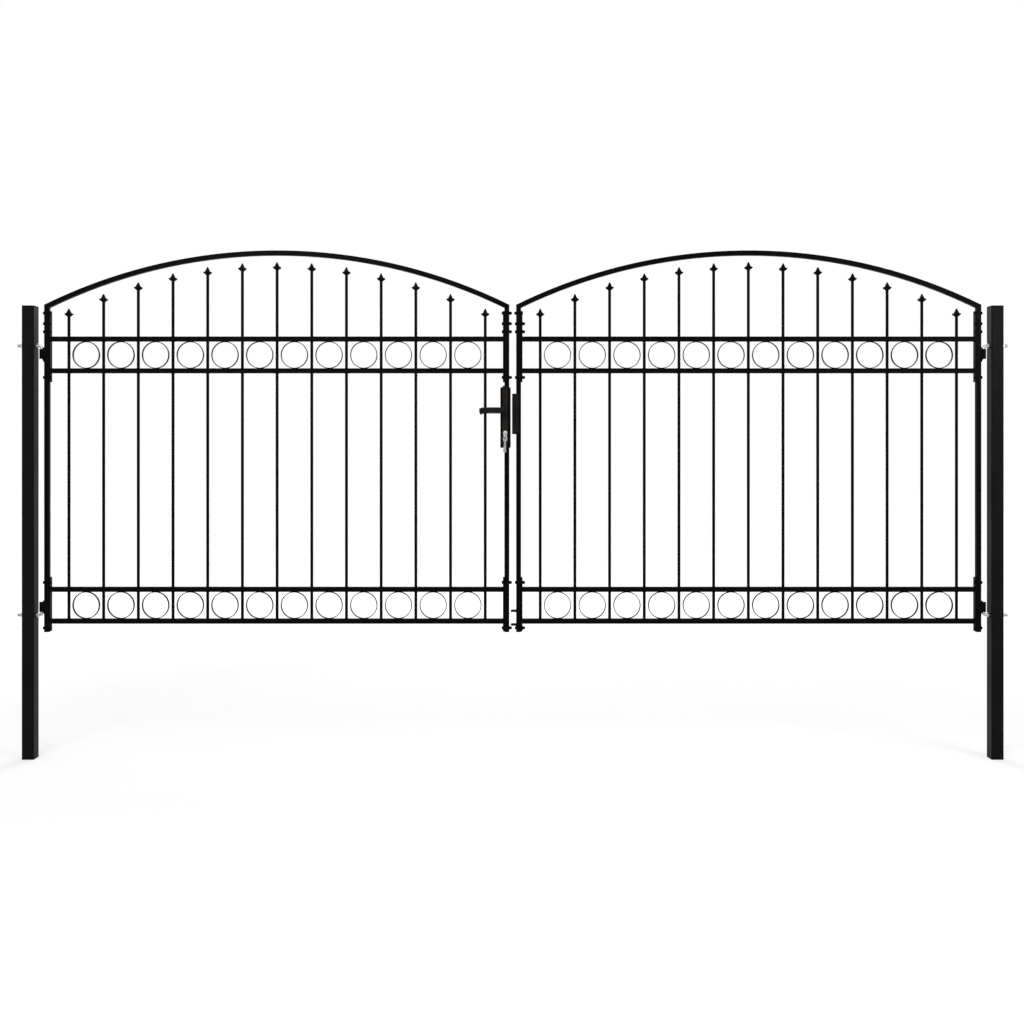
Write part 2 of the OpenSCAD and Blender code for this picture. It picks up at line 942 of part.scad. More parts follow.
// Drop bolt guides: two bored tabs on the foot of the right leaf's lock stile
module guide_outline() {
    end_r = guide_width / 2;
    difference() {
        intersection() {
            union() {
                translate([end_r - guide_reach, -end_r])
                    square([guide_reach, guide_width]);
                translate([end_r - guide_reach, 0])
                    circle(r = end_r);
            }
            translate([-2 * guide_reach, -guide_width])
                square([2 * guide_reach, 2 * guide_width]);
        }
        translate([end_r - guide_reach, 0])
            circle(d = guide_bore);
    }
}

module drop_bolt_guides() {
    for (z = [guide_foot, guide_foot + guide_pitch])
        translate([keep_x, 0, leaf_foot + z - guide_thick / 2])
            linear_extrude(guide_thick)
                guide_outline();
}

left_post();
right_post();
left_post_cap();
right_post_cap();
left_upper_hinge_bolt();
left_lower_hinge_bolt();
right_upper_hinge_bolt();
right_lower_hinge_bolt();
left_hinge_nuts();
right_hinge_nuts();
left_arch();
left_arch_legs();
left_hinge_stile();
left_lock_stile();
left_panel();
left_upper_hinge_lug();
left_lower_hinge_lug();
left_stile_plugs();
right_arch();
right_arch_legs();
right_hinge_stile();
right_lock_stile();
right_panel();
right_upper_hinge_lug();
right_lower_hinge_lug();
right_stile_plugs();
lock_case();
lock_forend();
front_escutcheon();
back_escutcheon();
lock_cylinder();
front_lever();
back_lever();
lever_spindle();
lock_key();
key_ring();
spare_keys();
lock_keep();
drop_bolt_guides();
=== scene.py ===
import math

import bpy
from mathutils import Matrix, Vector


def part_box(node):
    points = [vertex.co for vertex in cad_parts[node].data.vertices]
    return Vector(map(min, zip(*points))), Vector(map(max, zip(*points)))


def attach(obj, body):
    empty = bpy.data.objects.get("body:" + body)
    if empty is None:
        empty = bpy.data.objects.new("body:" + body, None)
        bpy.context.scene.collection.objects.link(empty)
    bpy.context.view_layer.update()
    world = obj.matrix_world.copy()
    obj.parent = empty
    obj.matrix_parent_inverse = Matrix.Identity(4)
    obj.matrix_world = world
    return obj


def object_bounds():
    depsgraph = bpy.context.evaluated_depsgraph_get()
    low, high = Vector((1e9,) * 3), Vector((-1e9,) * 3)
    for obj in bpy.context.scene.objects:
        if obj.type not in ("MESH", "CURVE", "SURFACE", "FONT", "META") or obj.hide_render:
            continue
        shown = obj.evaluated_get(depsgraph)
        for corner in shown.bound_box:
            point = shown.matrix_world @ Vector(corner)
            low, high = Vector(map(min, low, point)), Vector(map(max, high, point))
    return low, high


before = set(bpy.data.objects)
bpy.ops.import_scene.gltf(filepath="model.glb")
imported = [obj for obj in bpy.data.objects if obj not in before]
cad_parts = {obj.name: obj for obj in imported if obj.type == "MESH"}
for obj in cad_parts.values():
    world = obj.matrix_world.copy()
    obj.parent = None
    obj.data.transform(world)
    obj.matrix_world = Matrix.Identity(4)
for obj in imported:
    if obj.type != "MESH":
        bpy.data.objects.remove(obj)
cad_low, cad_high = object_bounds()

# Posts: two square steel tubes, charcoal powder coat over a blasted surface.
# The coat lies a little wavy, like orange peel, and its gloss drifts along the
# tube. They are cut square at the foot and set in concrete on site.
MM = 0.001


def new_material(name):
    material = bpy.data.materials.new(name)
    material.use_nodes = True
    return material, material.node_tree.nodes, material.node_tree.links


def add_noise(nodes, links, scale, detail, stretch=(1.0, 1.0, 1.0)):
    coords = nodes.new("ShaderNodeTexCoord")
    mapping = nodes.new("ShaderNodeMapping")
    mapping.inputs["Scale"].default_value = stretch
    noise = nodes.new("ShaderNodeTexNoise")
    noise.inputs["Scale"].default_value = scale
    noise.inputs["Detail"].default_value = detail
    links.new(coords.outputs["Object"], mapping.inputs["Vector"])
    links.new(mapping.outputs["Vector"], noise.inputs["Vector"])
    return noise.outputs["Fac"]


def add_range(nodes, links, value, low, high):
    spread = nodes.new("ShaderNodeMapRange")
    spread.inputs["From Min"].default_value = 0.3
    spread.inputs["From Max"].default_value = 0.7
    spread.inputs["To Min"].default_value = low
    spread.inputs["To Max"].default_value = high
    links.new(value, spread.inputs["Value"])
    return spread.outputs["Result"]


def add_tones(nodes, links, value, dark, light):
    ramp = nodes.new("ShaderNodeValToRGB")
    ramp.color_ramp.elements[0].position = 0.32
    ramp.color_ramp.elements[0].color = (*dark, 1.0)
    ramp.color_ramp.elements[1].position = 0.68
    ramp.color_ramp.elements[1].color = (*light, 1.0)
    links.new(value, ramp.inputs["Fac"])
    return ramp.outputs["Color"]


def add_bump(nodes, links, height, strength, depth):
    bump = nodes.new("ShaderNodeBump")
    bump.inputs["Strength"].default_value = strength
    bump.inputs["Distance"].default_value = depth
    links.new(height, bump.inputs["Height"])
    return bump.outputs["Normal"]


def powder_coat(name, dark, light, gloss, rough, peel):
    material, nodes, links = new_material(name)
    shader = nodes["Principled BSDF"]
    shader.inputs["Specular IOR Level"].default_value = gloss
    tone = add_noise(nodes, links, 26.0, 4.0)
    links.new(add_tones(nodes, links, tone, dark, light), shader.inputs["Base Color"])
    drift = add_noise(nodes, links, 7.0, 5.0)
    links.new(add_range(nodes, links, drift, rough - 0.06, rough + 0.07), shader.inputs["Roughness"])
    ripple = add_noise(nodes, links, 620.0, 2.0)
    links.new(add_bump(nodes, links, ripple, peel, 0.25 * MM), shader.inputs["Normal"])
    return material


def dress(material, *names):
    for name in names:
        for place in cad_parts[name].material_slots:
            place.material = material


post_coat = powder_coat("post_coat", (0.0018, 0.0018, 0.0019), (0.0036, 0.0036, 0.0038), 0.06, 0.42, 0.16)
dress(post_coat, "left_post", "right_post")

# Caps and plugs: black polyethylene mouldings pushed into the open tube ends.
# Their skin has the fine grain of the mould and is duller than the coat.


def moulded_plastic(name):
    material, nodes, links = new_material(name)
    shader = nodes["Principled BSDF"]
    shader.inputs["Specular IOR Level"].default_value = 0.03
    tone = add_noise(nodes, links, 45.0, 3.0)
    links.new(add_tones(nodes, links, tone, (0.0008, 0.0008, 0.0008), (0.002, 0.002, 0.002)),
              shader.inputs["Base Color"])
    drift = add_noise(nodes, links, 90.0, 2.0)
    links.new(add_range(nodes, links, drift, 0.5, 0.62), shader.inputs["Roughness"])
    grain = add_noise(nodes, links, 1900.0, 1.0)
    links.new(add_bump(nodes, links, grain, 0.3, 0.1 * MM), shader.inputs["Normal"])
    return material


black_plastic = moulded_plastic("black_plastic")
dress(black_plastic, "left_post_cap", "right_post_cap", "left_stile_plugs", "right_stile_plugs")

# Hinge bolts and nuts: bright zinc on mild steel, bent from threaded rod. The
# plating keeps faint drawing lines and a cloudy, slightly warm bloom.


def plated_steel(name, dark, light, rough_low, rough_high, stretch):
    material, nodes, links = new_material(name)
    shader = nodes["Principled BSDF"]
    shader.inputs["Metallic"].default_value = 1.0
    bloom = add_noise(nodes, links, 140.0, 5.0)
    links.new(add_tones(nodes, links, bloom, dark, light), shader.inputs["Base Color"])
    lines = add_noise(nodes, links, 320.0, 3.0, stretch)
    links.new(add_range(nodes, links, lines, rough_low, rough_high), shader.inputs["Roughness"])
    links.new(add_bump(nodes, links, lines, 0.18, 0.05 * MM), shader.inputs["Normal"])
    return material


zinc = plated_steel("zinc", (0.36, 0.36, 0.35), (0.58, 0.575, 0.555), 0.24, 0.42, (1.0, 9.0, 9.0))
dress(zinc, "left_upper_hinge_bolt", "left_lower_hinge_bolt", "right_upper_hinge_bolt",
      "right_lower_hinge_bolt", "left_hinge_nuts", "right_hinge_nuts")

# Threads on the hinge bolts: one ridge wound along the rod, cut by a die. It
# shows on the tail outside the post and on the short neck inside it.
THREAD_PITCH = 1.75 * MM
THREAD_FOOT = 5.85 * MM
THREAD_CREST = 6.4 * MM
THREAD_HALF = 0.68 * MM
STEPS_A_TURN = 20
ROD_R = 6.0 * MM
TAIL_INSET = 2.6 * MM
TAIL_TURNS = 7.0
NECK_START = 32.9 * MM
NECK_TURNS = 2.0
GATE_MID = 1975.0 * MM


def deselect():
    if bpy.context.object and bpy.context.object.mode != "OBJECT":
        bpy.ops.object.mode_set(mode="OBJECT")
    bpy.ops.object.select_all(action="DESELECT")


def edit(piece, mode):
    bpy.context.view_layer.objects.active = piece
    bpy.ops.object.mode_set(mode="EDIT")
    bpy.ops.mesh.select_mode(type=mode)


def leave_edit():
    bpy.ops.object.mode_set(mode="OBJECT")


def pick_faces(piece, wanted):
    edit(piece, "FACE")
    bpy.ops.mesh.select_all(action="DESELECT")
    leave_edit()
    for face in piece.data.polygons:
        face.select = wanted(face)
    edit(piece, "FACE")


def pick_edges(piece, wanted):
    edit(piece, "EDGE")
    bpy.ops.mesh.select_all(action="DESELECT")
    leave_edit()
    points = piece.data.vertices
    for side in piece.data.edges:
        side.select = wanted(points[side.vertices[0]].co, points[side.vertices[1]].co)
    edit(piece, "EDGE")


def settle(piece, name):
    leave_edit()
    bpy.ops.object.select_all(action="DESELECT")
    piece.select_set(True)
    bpy.context.view_layer.objects.active = piece
    bpy.ops.object.transform_apply(location=True, rotation=True, scale=True)
    piece.name = name
    piece.data.name = name
    return piece


def copy_at(piece, name, place):
    twin = piece.copy()
    twin.data = piece.data.copy()
    twin.data.transform(place)
    twin.name = name
    twin.data.name = name
    bpy.context.scene.collection.objects.link(twin)
    return twin


def join(pieces, name):
    deselect()
    for piece in pieces:
        piece.select_set(True)
    bpy.context.view_layer.objects.active = pieces[0]
    bpy.ops.object.join()
    return settle(pieces[0], name)


def finish_piece(piece, material, body, angle=35.0):
    deselect()
    piece.select_set(True)
    bpy.context.view_layer.objects.active = piece
    piece.data.materials.clear()
    piece.data.materials.append(material)
    bpy.ops.object.shade_smooth_by_angle(angle=math.radians(angle))
    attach(piece, body)


def thread_ridge(turns):
    deselect()
    bpy.ops.mesh.primitive_circle_add(vertices=3, radius=THREAD_HALF)
    ridge = bpy.context.object
    profile = ((-THREAD_HALF, THREAD_FOOT), (0.0, THREAD_CREST), (THREAD_HALF, THREAD_FOOT))
    for point, (along, out) in zip(ridge.data.vertices, profile):
        point.co = (along, 0.0, out)
    wind = ridge.modifiers.new("wind", "SCREW")
    wind.axis = "X"
    wind.angle = 2.0 * math.pi * turns
    wind.screw_offset = THREAD_PITCH * turns
    wind.steps = wind.render_steps = int(STEPS_A_TURN * turns)
    bpy.ops.object.modifier_apply(modifier=wind.name)
    edit(ridge, "EDGE")
    bpy.ops.mesh.select_all(action="SELECT")
    bpy.ops.mesh.remove_doubles(threshold=0.01 * MM)
    bpy.ops.mesh.select_all(action="DESELECT")
    bpy.ops.mesh.select_non_manifold(extend=False, use_wire=False, use_multi_face=False,
                                     use_non_contiguous=False, use_verts=False)
    bpy.ops.mesh.fill()
    bpy.ops.mesh.select_all(action="SELECT")
    bpy.ops.mesh.normals_make_consistent(inside=False)
    return settle(ridge, "thread_ridge")


tail_ridge = thread_ridge(TAIL_TURNS)
neck_ridge = thread_ridge(NECK_TURNS)
for level in ("upper", "lower"):
    low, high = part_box(f"left_{level}_hinge_bolt")
    bolt_z = high.z - ROD_R if level == "upper" else low.z + ROD_R
    tail = copy_at(tail_ridge, "tail", Matrix.Translation((low.x + TAIL_INSET, 0.0, bolt_z)))
    neck = copy_at(neck_ridge, "neck", Matrix.Translation((NECK_START, 0.0, bolt_z)))
    left = join([tail, neck], f"left_{level}_hinge_thread")
    turned = (Matrix.Translation((GATE_MID, 0.0, 0.0)) @ Matrix.Rotation(math.pi, 4, "Z")
              @ Matrix.Translation((-GATE_MID, 0.0, 0.0)))
    right = copy_at(left, f"right_{level}_hinge_thread", turned)
    for thread in (left, right):
        finish_piece(thread, zinc, "posts", 25.0)
bpy.data.objects.remove(tail_ridge)
bpy.data.objects.remove(neck_ridge)

# Leaf frames and panels: welded from thin square tube, square rails, round
# pickets with pressed spear heads and flat rings, then coated black in one go.
frame_coat = powder_coat("frame_coat", (0.0005, 0.0005, 0.0006), (0.0014, 0.0014, 0.0015), 0.035, 0.38, 0.18)
for hand in ("left", "right"):
    dress(frame_coat, f"{hand}_arch", f"{hand}_arch_legs", f"{hand}_hinge_stile", f"{hand}_lock_stile",
          f"{hand}_panel", f"{hand}_upper_hinge_lug", f"{hand}_lower_hinge_lug")

# Hinge lug welds: a heavy fillet above and below each lug and a run up both
# sides of its neck. The bead lies in overlapping scales under the coat.
SCALE_STEP = 1.5 * MM
SCALE_REACH = 1.6 * SCALE_STEP
SCALE_HALF = 6.6 * MM
FILLET_SIDE = 0.4 * MM
PIN_FILLET_ON_LUG = 4.2 * MM
FREE_FILLET_ON_LUG = 9.0 * MM
FILLET_ROWS = (0.25, 0.5, 0.75)
ROW_SINK = 0.92
ROW_BEAD = (4.2 * MM, 0.9 * MM)
NECK_BEAD = (4.4 * MM, 1.7 * MM)
NECK_BEAD_Y = 8.9 * MM
NECK_BEAD_INSET = 1.5 * MM


def weld_run(start, end, wide, high, up):
    """One straight bead of flat overlapping scales from start to end."""
    deselect()
    start, end, up = Vector(start), Vector(end), Vector(up).normalized()
    along = (end - start).normalized()
    count = max(2, int((end - start).length / SCALE_STEP))
    bpy.ops.mesh.primitive_uv_sphere_add(segments=10, ring_count=6, radius=1.0)
    bead = bpy.context.object
    turn = Matrix((along, up.cross(along), up)).transposed().to_4x4()
    edit(bead, "VERT")
    bpy.ops.mesh.select_all(action="SELECT")
    bpy.ops.transform.resize(value=(SCALE_REACH, wide / 2, high), center_override=(0, 0, 0))
    leave_edit()
    bead.data.transform(Matrix.Translation(start) @ turn)
    row = bead.modifiers.new("row", "ARRAY")
    row.use_relative_offset = False
    row.use_constant_offset = True
    row.constant_offset_displace = (end - start) / (count - 1)
    row.count = count
    bpy.ops.object.modifier_apply(modifier=row.name)
    return settle(bead, "weld_run")


def weld_wedge(low, high, cut_at, cut_normal):
    """A fillet: a block cut along its slope, with its edges eased."""
    deselect()
    low, high = Vector(low), Vector(high)
    bpy.ops.mesh.primitive_cube_add(size=1.0, location=(low + high) / 2, scale=high - low)
    wedge = bpy.context.object
    settle(wedge, "weld_wedge")
    edit(wedge, "FACE")
    bpy.ops.mesh.select_all(action="SELECT")
    bpy.ops.mesh.bisect(plane_co=cut_at, plane_no=cut_normal.normalized(), use_fill=True,
                        clear_outer=True, threshold=0.001 * MM)
    bpy.ops.mesh.select_all(action="SELECT")
    bpy.ops.mesh.bevel(offset=0.5 * MM, segments=2, affect="EDGES", clamp_overlap=True)
    return settle(wedge, "weld_wedge")


mirror_gate = (Matrix.Translation((GATE_MID, 0.0, 0.0)) @ Matrix.Scale(-1.0, 4, (1.0, 0.0, 0.0))
               @ Matrix.Translation((-GATE_MID, 0.0, 0.0)))


def mirrored(piece, name):
    twin = copy_at(piece, name, mirror_gate)
    twin.data.flip_normals()
    return twin


for level in ("upper", "lower"):
    low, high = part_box(f"left_{level}_hinge_lug")
    seat = high.x
    pin_side, free_side = (high.z, low.z) if level == "upper" else (low.z, high.z)
    away = 1.0 if level == "upper" else -1.0
    runs = []
    # The lower pin's fillet is narrow, so that it clears the bolt's bend as the leaf swings.
    if level == "upper":
        pin_rise, pin_half, free_rise = 9.0 * MM, SCALE_HALF, 17.0 * MM
    else:
        pin_rise, pin_half, free_rise = 15.0 * MM, 3.6 * MM, 9.0 * MM
    for edge_z, towards, on_lug, on_stile, run_half in (
            (pin_side, away, PIN_FILLET_ON_LUG, pin_rise, pin_half),
            (free_side, -away, FREE_FILLET_ON_LUG, free_rise, SCALE_HALF)):
        far_z = edge_z + towards * on_stile
        slope = Vector((-on_stile, 0.0, towards * on_lug))
        runs.append(weld_wedge((seat - on_lug, -run_half - FILLET_SIDE, min(edge_z, far_z)),
                               (seat + 0.2 * MM, run_half + FILLET_SIDE, max(edge_z, far_z)),
                               (seat - on_lug + 0.3 * MM, 0.0, edge_z), slope))
        for share in FILLET_ROWS:
            spot_x = seat - on_lug * (1.0 - share) * ROW_SINK
            spot_z = edge_z + towards * on_stile * share * ROW_SINK
            runs.append(weld_run((spot_x, -run_half, spot_z), (spot_x, run_half, spot_z), *ROW_BEAD, slope))
    for side in (-1.0, 1.0):
        bead_x, bead_y = seat - 0.4 * MM, side * NECK_BEAD_Y
        runs.append(weld_run((bead_x, bead_y, low.z + NECK_BEAD_INSET),
                             (bead_x, bead_y, high.z - NECK_BEAD_INSET), *NECK_BEAD, (-0.8, side, 0.0)))
    left = join(runs, f"left_{level}_lug_weld")
    right = mirrored(left, f"right_{level}_lug_weld")
    finish_piece(left, frame_coat, "left_leaf", 50.0)
    finish_piece(right, frame_coat, "right_leaf", 50.0)

# Mitre welds: where an arch meets its two legs the tube is cut on the slant
# and welded all round. The bead is dressed low and shows as a thin ridge.
leg_low, leg_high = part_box("left_arch_legs")
TUBE = 20.0 * MM
CORNER_Z = 1849.0 * MM
RISE = 218.0 * MM
MITRE_BEAD = (2.6 * MM, 0.45 * MM)
MITRE_INSET = 2.5 * MM
MITRE_RIM_HALF = 7.4 * MM
half_chord = (leg_high.x - leg_low.x - TUBE) / 2
arch_r = (half_chord ** 2 + RISE ** 2) / (2 * RISE)
tilt = (math.pi / 2 - math.asin(half_chord / arch_r)) / 2
corner = Vector((leg_low.x + TUBE / 2, 0.0, CORNER_Z))
slant = Vector((math.cos(tilt), 0.0, -math.sin(tilt)))
reach = TUBE / 2 / math.cos(tilt)
half = TUBE / 2
left_end = []
for side in (-1.0, 1.0):
    front = Vector((0.0, side * half, 0.0))
    left_end.append(weld_run(corner + front - slant * (reach - MITRE_INSET),
                             corner + front + slant * (reach - MITRE_INSET), *MITRE_BEAD, front))
    rim = slant * side * reach
    left_end.append(weld_run(corner + rim + Vector((0.0, -MITRE_RIM_HALF, 0.0)),
                             corner + rim + Vector((0.0, MITRE_RIM_HALF, 0.0)), *MITRE_BEAD, rim))
left_mitre = join(left_end, "left_mitre")
leaf_mid = (leg_low.x + leg_high.x) / 2
across_leaf = (Matrix.Translation((leaf_mid, 0.0, 0.0)) @ Matrix.Rotation(math.pi, 4, "Z")
               @ Matrix.Translation((-leaf_mid, 0.0, 0.0)))
right_mitre = copy_at(left_mitre, "right_mitre", across_leaf)
left = join([left_mitre, right_mitre], "left_arch_mitre_welds")
right = mirrored(left, "right_arch_mitre_welds")
finish_piece(left, frame_coat, "left_leaf", 50.0)
finish_piece(right, frame_coat, "right_leaf", 50.0)

# Panel welds: each picket is welded round where it meets a rail, below the three
# upper rails and on top of the lowest, and each ring is tacked to the two rails
# that it touches, front and back. The coat covers them all.
PICKET_COUNT = 13
PICKET_PITCH = 142.0 * MM
PICKET_R = 6.0 * MM
RAIL_HEIGHTS = [561.0 * MM, 691.0 * MM, 1585.0 * MM, 1715.0 * MM]
RING_HALF = 5.0 * MM


def row_along_leaf(piece, count):
    """Repeat a piece along X at the pickets' spacing, centred on the leaf."""
    piece.data.transform(Matrix.Translation((leaf_mid - (count - 1) / 2 * PICKET_PITCH, 0.0, 0.0)))
    row = piece.modifiers.new("row", "ARRAY")
    row.use_relative_offset = False
    row.use_constant_offset = True
    row.constant_offset_displace = (PICKET_PITCH, 0.0, 0.0)
    row.count = count
    bpy.context.view_layer.objects.active = piece
    bpy.ops.object.modifier_apply(modifier=row.name)
    return settle(piece, "weld_row")


def picket_weld():
    """A thin bead round a picket, swollen at every other step of the torch."""
    deselect()
    steps = 14
    bpy.ops.mesh.primitive_torus_add(major_segments=steps, minor_segments=4,
                                     major_radius=PICKET_R + 0.5 * MM, minor_radius=1.3 * MM)
    bead = settle(bpy.context.object, "picket_weld")

    def step_of(point):
        return round(math.atan2(point.y, point.x) / (2 * math.pi) * steps) % steps

    pick_edges(bead, lambda a, b: step_of(a) == step_of(b) and step_of(a) % 2 == 0)
    bpy.ops.transform.resize(value=(1.05, 1.05, 1.25), center_override=(0, 0, 0))
    return settle(bead, "picket_weld")


def ring_tack():
    """A short tack along X, drawn out thin at the end where the torch left it."""
    deselect()
    bpy.ops.mesh.primitive_uv_sphere_add(segments=8, ring_count=5, radius=1.0, rotation=(0.0, math.pi / 2, 0.0))
    tack = settle(bpy.context.object, "ring_tack")
    edit(tack, "VERT")
    bpy.ops.mesh.select_all(action="SELECT")
    bpy.ops.transform.resize(value=(4.6 * MM, 1.2 * MM, 1.5 * MM), center_override=(0, 0, 0))
    pick_faces(tack, lambda face: face.center.x > 2.6 * MM)
    bpy.ops.transform.resize(value=(1.15, 0.7, 0.7), center_override=(0, 0, 0))
    return settle(tack, "ring_tack")


picket_row = row_along_leaf(picket_weld(), PICKET_COUNT)
tack_row = row_along_leaf(ring_tack(), PICKET_COUNT - 1)
panel_rows = []
for rail_z in RAIL_HEIGHTS:
    side = half if rail_z == RAIL_HEIGHTS[0] else -half
    panel_rows.append(copy_at(picket_row, "picket_welds", Matrix.Translation((0.0, 0.0, rail_z + side))))
for rail_z, up in zip(RAIL_HEIGHTS, (1.0, -1.0, 1.0, -1.0)):
    for front in (-1.0, 1.0):
        panel_rows.append(copy_at(tack_row, "ring_tacks",
                                  Matrix.Translation((0.0, front * RING_HALF, rail_z + up * half))))
left = join(panel_rows, "left_panel_welds")
right = mirrored(left, "right_panel_welds")
finish_piece(left, frame_coat, "left_leaf", 50.0)
finish_piece(right, frame_coat, "right_leaf", 50.0)
bpy.data.objects.remove(picket_row)
bpy.data.objects.remove(tack_row)

# Panel bolts: six on each stile clamp the panel's end plates to the tube. Cap
# nuts sit on one side and round heads on the other, all black-coated steel.
# The top bolt of the right lock stile is put in the other way round.
BOLT_HEIGHTS = [1821.0, 1778.0, 1745.0, 1558.0, 719.0, 533.0]
TURNED_BOLT = ("right_lock_stile", 1821.0)
CAP_NUT_R = 7.4 * MM
END_PLATE = 6.0 * MM


def domed_head(radius, height):
    """A round bolt head that stands on X = 0 and rises along +X."""
    deselect()
    skirt = 0.3 * height
    bpy.ops.mesh.primitive_cylinder_add(vertices=24, radius=radius, depth=skirt,
                                        location=(skirt / 2, 0.0, 0.0), rotation=(0.0, math.pi / 2, 0.0))
    head = bpy.context.object
    settle(head, "domed_head")
    pick_faces(head, lambda face: face.normal.x > 0.9)
    step = (height - skirt) / 5
    size = 1.0
    for turn in range(1, 6):
        new_size = math.cos(math.radians(turn * 15.5))
        bpy.ops.mesh.extrude_region_move(TRANSFORM_OT_translate={"value": (step * (1.6 - 0.2 * turn), 0, 0)})
        bpy.ops.transform.resize(value=(1.0, new_size / size, new_size / size), center_override=(0, 0, 0))
        size = new_size
    return settle(head, "domed_head")


def cap_nut(height):
    """A hexagon nut with a closed dome on X = 0, rising along +X."""
    deselect()
    deep = 0.48 * height
    bpy.ops.mesh.primitive_cylinder_add(vertices=6, radius=CAP_NUT_R, depth=deep,
                                        location=(deep / 2, 0.0, 0.0), rotation=(0.0, math.pi / 2, 0.0))
    nut = bpy.context.object
    settle(nut, "cap_nut")
    pick_edges(nut, lambda a, b: abs(a.x - b.x) < 0.1 * MM)
    bpy.ops.mesh.bevel(offset=0.6 * MM, segments=2, affect="EDGES")
    leave_edit()
    dome = domed_head(0.8 * CAP_NUT_R, height - deep)
    dome.data.transform(Matrix.Translation((deep - 0.05 * MM, 0.0, 0.0)))
    return join([nut, dome], "cap_nut")


bolt_black = powder_coat("bolt_black", (0.001, 0.001, 0.0011), (0.0024, 0.0024, 0.0026), 0.04, 0.34, 0.08)
tall_nut = cap_nut(11.5 * MM)
short_nut = cap_nut(8.0 * MM)
tall_head = domed_head(7.0 * MM, 5.5 * MM)
low_head = domed_head(7.2 * MM, 2.4 * MM)
about = Matrix.Rotation(math.pi, 4, "Z")
left_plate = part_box("left_panel")
right_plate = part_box("right_panel")
stile_faces = {
    "left_hinge_stile": ("left_leaf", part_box("left_hinge_stile")[0].x, short_nut,
                         left_plate[0].x + END_PLATE, low_head),
    "left_lock_stile": ("left_leaf", left_plate[1].x - END_PLATE, tall_head,
                        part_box("left_lock_stile")[1].x, tall_nut),
    "right_lock_stile": ("right_leaf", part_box("right_lock_stile")[0].x, tall_head,
                         right_plate[0].x + END_PLATE, tall_nut),
    "right_hinge_stile": ("right_leaf", right_plate[1].x - END_PLATE, low_head,
                          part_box("right_hinge_stile")[1].x, short_nut),
}
for stile, (body, low_x, low_piece, high_x, high_piece) in stile_faces.items():
    bolts = []
    for height in BOLT_HEIGHTS:
        ends = (short_nut, low_head) if (stile, height) == TURNED_BOLT else (low_piece, high_piece)
        low_spot = Matrix.Translation((low_x, 0.0, height * MM))
        high_spot = Matrix.Translation((high_x, 0.0, height * MM))
        bolts.append(copy_at(ends[0], "bolt_end", low_spot @ about))
        bolts.append(copy_at(ends[1], "bolt_end", high_spot))
    finish_piece(join(bolts, f"{stile}_bolts"), bolt_black, body, 32.0)
for pattern in (tall_nut, short_nut, tall_head, low_head):
    bpy.data.objects.remove(pattern)

# Lock case: a closed steel case welded between the two lengths of the lock
# stile, coated with the leaf. A bead runs where the tube lands on its ends.
dress(frame_coat, "lock_case")
case_low, case_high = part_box("lock_case")
stile_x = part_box("left_lock_stile")[1].x - half
CASE_BEAD = (3.6 * MM, 1.3 * MM)
CASE_BEAD_HALF = 7.5 * MM
case_runs = []
for end_z in (case_low.z, case_high.z):
    up = 1.0 if end_z == case_high.z else -1.0
    for side in (-1.0, 1.0):
        case_runs.append(weld_run((stile_x - CASE_BEAD_HALF, side * half, end_z),
                                  (stile_x + CASE_BEAD_HALF, side * half, end_z),
                                  *CASE_BEAD, (0.0, side, up)))
    case_runs.append(weld_run((stile_x - half, -CASE_BEAD_HALF, end_z), (stile_x - half, CASE_BEAD_HALF, end_z),
                              *CASE_BEAD, (-1.0, 0.0, up)))
finish_piece(join(case_runs, "lock_case_welds"), frame_coat, "left_leaf", 50.0)

# Forend, latch and bolt: a nickel-plated steel strip let into the case, held
# by two countersunk screws. The two tongues stand drawn back in its slots.
nickel = plated_steel("nickel", (0.42, 0.415, 0.4), (0.64, 0.63, 0.61), 0.2, 0.36, (9.0, 9.0, 1.0))
dress(nickel, "lock_forend")


def cross_screw(radius, height):
    """A screw head on X = 0 that rises along +X, with a cross recess cut into it."""
    deselect()
    bpy.ops.mesh.primitive_cylinder_add(vertices=28, radius=radius, depth=height,
                                        location=(height / 2, 0.0, 0.0), rotation=(0.0, math.pi / 2, 0.0))
    head = bpy.context.object
    settle(head, "cross_screw")
    pick_edges(head, lambda a, b: a.x > 0.9 * height and b.x > 0.9 * height)
    bpy.ops.mesh.bevel(offset=0.45 * height, segments=3, affect="EDGES")
    leave_edit()
    arms = []
    for wide, tall in ((0.28, 1.2), (1.2, 0.28)):
        deselect()
        bpy.ops.mesh.primitive_cube_add(size=1.0, location=(height, 0.0, 0.0),
                                        scale=(1.2 * height, wide * radius, tall * radius))
        arms.append(bpy.context.object)
        settle(arms[-1], "recess_arm")
    for arm in arms:
        cut = head.modifiers.new("recess", "BOOLEAN")
        cut.operation = "DIFFERENCE"
        cut.solver = "EXACT"
        cut.object = arm
        bpy.context.view_layer.objects.active = head
        bpy.ops.object.modifier_apply(modifier=cut.name)
    for arm in arms:
        bpy.data.objects.remove(arm)
    return settle(head, "cross_screw")


SCREW_SUNK = 0.05 * MM
FOREND_SCREW_INSET = 14.0 * MM
forend_low, forend_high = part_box("lock_forend")
forend_screw = cross_screw(3.6 * MM, 0.9 * MM)
forend_screws = []
for spot_z in (forend_low.z + FOREND_SCREW_INSET, forend_high.z - FOREND_SCREW_INSET):
    spot = Matrix.Translation((forend_high.x - SCREW_SUNK, 0.0, spot_z))
    forend_screws.append(copy_at(forend_screw, "forend_screw", spot))
finish_piece(join(forend_screws, "forend_screws"), nickel, "left_leaf")
bpy.data.objects.remove(forend_screw)


